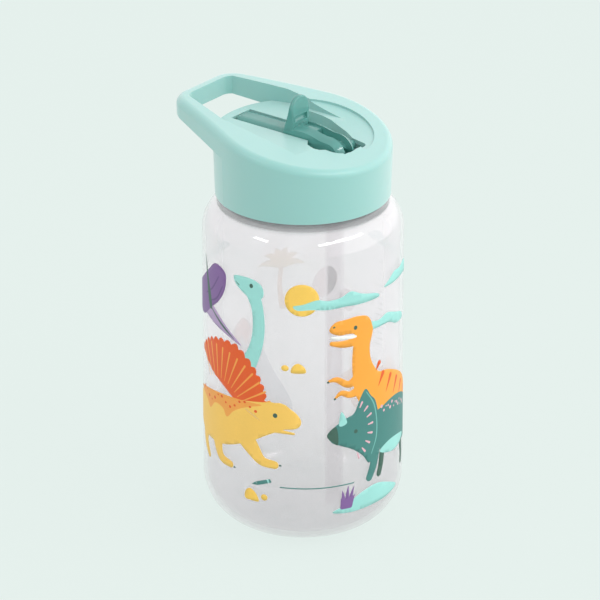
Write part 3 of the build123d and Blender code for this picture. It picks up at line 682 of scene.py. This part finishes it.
def straw_tube(s, material):
    """The straw: a tube whose lower edge is lifted by sqrt(notch^2 - x^2) where |x| is under notch, which
    leaves a round cross-cut notch."""
    notch, rows, segments = 0.002, 24, 96
    centre = ((straw_low.x + straw_high.x) / 2, (straw_low.y + straw_high.y) / 2)
    outer = round((straw_high.x - straw_low.x) / 2, 5)
    bore = outer - s.straw_wall
    foot = straw_low.z
    levels = np.linspace(foot, straw_high.z, rows)
    tube = np.vstack((np.column_stack((np.full(rows, outer), levels)),
                      np.column_stack((np.full(rows, bore), levels[::-1]))))
    grid = turned_grid(tube, segments, centre)
    aside = grid[..., 0] - centre[0]
    lift = np.sqrt(np.clip(notch ** 2 - aside ** 2, 0, None))
    grid[..., 2] += lift * (np.abs(grid[..., 2] - foot) < 1e-6)
    return add_piece("straw_tube", grid, turned_faces(len(tube), segments, True), material, "lid")


# ------------------------------------------------------------------ operators
class BOTTLE_OT_clear_body(bpy.types.Operator):
    """Build the clear bottle, its neck thread and the straw"""
    bl_idname = "bottle.clear_body"
    bl_label = "Clear body and straw"

    def execute(self, context):
        s, colours = context.scene.bottle_sizes, context.scene.bottle_colours
        # the wall darkens from 85 mm down to its heel, and from 3.8 mm under the lid the neck is hazier, with
        # painted shade below the lid's edge
        clear = clear_wall("clear_copolyester_blown", colours.body, 0.22, 0.46, 0.05, 0.25, 0.085,
                           s.lid_seat - 0.0038)
        body = clear_body(s, clear)
        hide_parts("bottle_body")
        thread = neck_thread(s, clear)
        # the straw darkens only below 1 mm, and its painted neck shade would start out of reach
        milky = clear_wall("natural_polypropylene_extruded", colours.straw, 0.03, 0.22, 0.16, 0.05, 0.001,
                           1.0)
        straw = straw_tube(s, milky)
        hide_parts("straw")
        return {"FINISHED"}


class BOTTLE_OT_lid(bpy.types.Operator):
    """Finish the lid shell, its threaded insert, the seals and the air valve"""
    bl_idname = "bottle.lid"
    bl_label = "Lid and seals"

    def execute(self, context):
        colours = context.scene.bottle_colours
        # spark erosion leaves a grain of 0.35 mm in the lid's mould and 0.5 mm in the insert's
        mint = satin_polypropylene("mint_polypropylene_moulded", colours.lid, 0.00035)
        natural = satin_polypropylene("natural_polypropylene_moulded", colours.insert, 0.0005)
        smooth_copy("lid_shell", mint)
        smooth_copy("lid_insert", natural)
        rubber = silicone_rubber("milky_silicone_moulded", colours.silicone)
        for node in ("neck_gasket", "spout_seal", "vent_valve"):
            smooth_copy(node, rubber)
        return {"FINISHED"}


class BOTTLE_OT_spout(bpy.types.Operator):
    """Finish the flip spout"""
    bl_idname = "bottle.spout"
    bl_label = "Flip spout"

    def execute(self, context):
        tint = tinted_copolyester("tinted_copolyester_polished", context.scene.bottle_colours.spout)
        smooth_copy("spout", tint)
        return {"FINISHED"}


class BOTTLE_OT_print(bpy.types.Operator):
    """Print the figures on the barrel as one thin ink film"""
    bl_idname = "bottle.print"
    bl_label = "Printed figures"

    def execute(self, context):
        s, colours = context.scene.bottle_sizes, context.scene.bottle_colours
        # the film is meshed in cells of 1.8 mm between two heights, and stands just clear of the wall
        cell, lowest, highest, clearance = 0.0018, 0.014, 0.112, 0.00002
        back = print_back()
        shapes = back + print_front()
        # every outline runs counterclockwise: twice its area, the sum of x1 y2 - x2 y1, is positive
        outlines = [outline * 0.001 for _, outline in shapes]
        areas = [np.sum(o[:, 0] * np.roll(o[:, 1], -1) - np.roll(o[:, 0], -1) * o[:, 1]) for o in outlines]
        outlines = [o if area > 0 else o[::-1] for o, area in zip(outlines, areas)]
        starts = np.cumsum([0] + [len(outline) for outline in outlines])
        loops = [list(range(a, b)) for a, b in zip(starts[:-1], starts[1:])]
        half_turn = math.pi * s.barrel
        across, up = np.meshgrid(np.arange(-half_turn, half_turn, cell), np.arange(lowest, highest, cell))
        plan = np.vstack((*outlines, np.column_stack((across.ravel(), up.ravel()))))
        plan = [Vector(p) for p in plan.tolist()]
        flat, _, triangles, _, _, owners = delaunay_2d_cdt(plan, [], loops, 1, 1e-7)
        flat = np.array([tuple(p) for p in flat])
        top = np.array([max(owner) for owner in owners])
        inks = np.array([tuple(getattr(colours, ink)) for ink, _ in shapes])[top]
        # the film follows the barrel, and below its straight part the base's round:
        # r = c + sqrt(R^2 - (R - z)^2), where c is the radius of the round's centre
        around, z = flat[:, 0] / s.barrel + s.front_turn, flat[:, 1]
        drop = np.clip(s.base_round - z, 0, None)
        radius = s.barrel - s.base_round + np.sqrt(s.base_round ** 2 - drop ** 2) + clearance + s.film
        points = np.column_stack((radius * np.cos(around), radius * np.sin(around), z))
        film = add_piece("printed_figures", points, triangles,
                         screen_ink("screen_ink_cured", 0.0, 0.42, 0.02, 0.14))
        film.data.materials.append(screen_ink("white_underbase_cured", 0.9, 0.6, 0.1, 0.5))
        # the far side is printed as a sparse dot screen, which lets most of the light through
        film.data.materials.append(screen_ink("screen_ink_dotted", 0.1, 0.42, 0.66, 0.5))
        film.data.materials.append(screen_ink("white_underbase_dotted", 0.8, 0.6, 0.84, 0.5))
        film.data.polygons.foreach_set("material_index", np.where(top < len(back), 2, 0))
        ink = film.data.attributes.new("ink", "FLOAT_COLOR", "CORNER")
        ink.data.foreach_set("color", np.repeat(inks, 3, axis=0).ravel())
        shell = film.modifiers.new("film", "SOLIDIFY")
        shell.thickness, shell.offset, shell.material_offset, shell.material_offset_rim = s.film, -1, 1, 1
        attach(film, "bottle")
        return {"FINISHED"}


class BOTTLE_OT_stage(bpy.types.Operator):
    """Set up the pale floor, the soft light and the camera"""
    bl_idname = "bottle.stage"
    bl_label = "Stage"

    def execute(self, context):
        scene, s = context.scene, context.scene.bottle_stage
        scene.view_settings.view_transform = "Standard"
        board, tree = new_material("painted_board_rolled")
        # roller stipple of about 2 mm
        stipple = bump(tree, noise(tree, object_place(tree), 0.002, 2.0), 0.05, 0.0001)
        paint = add_node(tree, "ShaderNodeBsdfDiffuse", {"Color": s.floor, "Normal": stipple})
        glow = add_node(tree, "ShaderNodeEmission", {"Color": s.floor, "Strength": 0.985})
        show(tree, layered(tree, 0.92, paint.outputs[0], glow.outputs[0]))
        reach, below = 3.0, 0.0001
        side = np.array((-reach, reach))
        x, y = np.meshgrid(side, side)
        floor = add_piece("floor", np.stack((x, y, 0 * x - below), axis=-1), [(0, 1, 3, 2)], board)

        def towards(turn, height):
            """Unit vector at a turn from the camera's direction, to its right, and a height, in degrees."""
            a, e = s.azimuth + math.radians(turn), math.radians(height)
            return Vector((math.sin(a) * math.cos(e), -math.cos(a) * math.cos(e), math.sin(e)))

        world = bpy.data.worlds.new("soft_studio")
        scene.world = world
        world.use_nodes = True
        tree = world.node_tree
        tree.nodes.clear()
        # light from a direction d: ambient, plus key and rim eased in by how far d points at them
        way = add_node(tree, "ShaderNodeTexCoord").outputs["Generated"]
        level = s.ambient
        for strength, aim, start in ((s.key, towards(98, 5), 0.2), (s.rim, towards(-150, 15), 0.3)):
            dot = add_node(tree, "ShaderNodeVectorMath", {0: way, 1: aim}, operation="DOT_PRODUCT")
            eased = add_node(tree, "ShaderNodeMapRange", {"Value": dot.outputs["Value"], "From Min": start},
                             interpolation_type="SMOOTHSTEP")
            level = maths(tree, "MULTIPLY_ADD", eased.outputs[0], strength, level)
        light = add_node(tree, "ShaderNodeBackground", {"Color": (1, 1, 1, 1), "Strength": level})
        backdrop = add_node(tree, "ShaderNodeBackground", {"Color": s.floor, "Strength": 1.0})
        seen_by_eye = add_node(tree, "ShaderNodeLightPath").outputs["Is Camera Ray"]
        seen = layered(tree, seen_by_eye, light.outputs[0], backdrop.outputs[0])
        add_node(tree, "ShaderNodeOutputWorld", {"Surface": seen})

        centre, lamp_distance = Vector((0, 0, (cad_low.z + cad_high.z) / 2)), 1.2
        for name, turn, height, wide, tall, power in (("strip_right", 52, 42, 1.1, 0.14, 4.5),
                                                      ("strip_left", -58, 42, 0.35, 0.12, 1.2)):
            lamp = bpy.data.lights.new(name, "AREA")
            lamp.shape, lamp.size, lamp.size_y, lamp.energy = "RECTANGLE", wide, tall, power
            stand = bpy.data.objects.new(name, lamp)
            stand.location = centre + towards(turn, height) * lamp_distance
            stand.rotation_euler = towards(turn, height).to_track_quat("Z", "Y").to_euler()
            scene.collection.objects.link(stand)

        camera = bpy.data.cameras.new("camera")
        camera.sensor_width = 36.0
        camera.lens = camera.sensor_width * s.distance / s.width
        camera.clip_start, camera.clip_end = 0.1, 20
        eye = bpy.data.objects.new("camera", camera)
        back = towards(0, math.degrees(s.elevation))
        right = Vector((math.cos(s.azimuth), math.sin(s.azimuth), 0))
        eye.location = Vector((0, 0, s.aim)) - right * s.aside + back * s.distance
        eye.rotation_euler = back.to_track_quat("Z", "Y").to_euler()
        scene.collection.objects.link(eye)
        scene.camera = eye
        return {"FINISHED"}


class BOTTLE_PT_panel(bpy.types.Panel):
    """Lists the bottle's pieces and settings"""
    bl_idname = "BOTTLE_PT_panel"
    bl_label = "Kids water bottle"
    bl_space_type = "VIEW_3D"
    bl_region_type = "UI"
    bl_category = "Bottle"

    def draw(self, context):
        for operator in OPERATORS:
            self.layout.operator(operator.bl_idname)
        for group in (context.scene.bottle_sizes, context.scene.bottle_colours, context.scene.bottle_stage):
            box = self.layout.box()
            for key in group.__annotations__:
                box.prop(group, key)


OPERATORS = (BOTTLE_OT_clear_body, BOTTLE_OT_print, BOTTLE_OT_lid, BOTTLE_OT_spout, BOTTLE_OT_stage)
CLASSES = (BottleSizes, BottleColours, StageSizes, *OPERATORS, BOTTLE_PT_panel)


def register():
    for each in CLASSES:
        bpy.utils.register_class(each)
    bpy.types.Scene.bottle_sizes = bpy.props.PointerProperty(type=BottleSizes)
    bpy.types.Scene.bottle_colours = bpy.props.PointerProperty(type=BottleColours)
    bpy.types.Scene.bottle_stage = bpy.props.PointerProperty(type=StageSizes)


def unregister():
    del bpy.types.Scene.bottle_sizes, bpy.types.Scene.bottle_colours, bpy.types.Scene.bottle_stage
    for each in reversed(CLASSES):
        bpy.utils.unregister_class(each)


def main():
    register()
    bpy.ops.bottle.clear_body()
    bpy.ops.bottle.print()
    bpy.ops.bottle.lid()
    bpy.ops.bottle.spout()
    bpy.ops.bottle.stage()


if __name__ == "__main__":
    main()
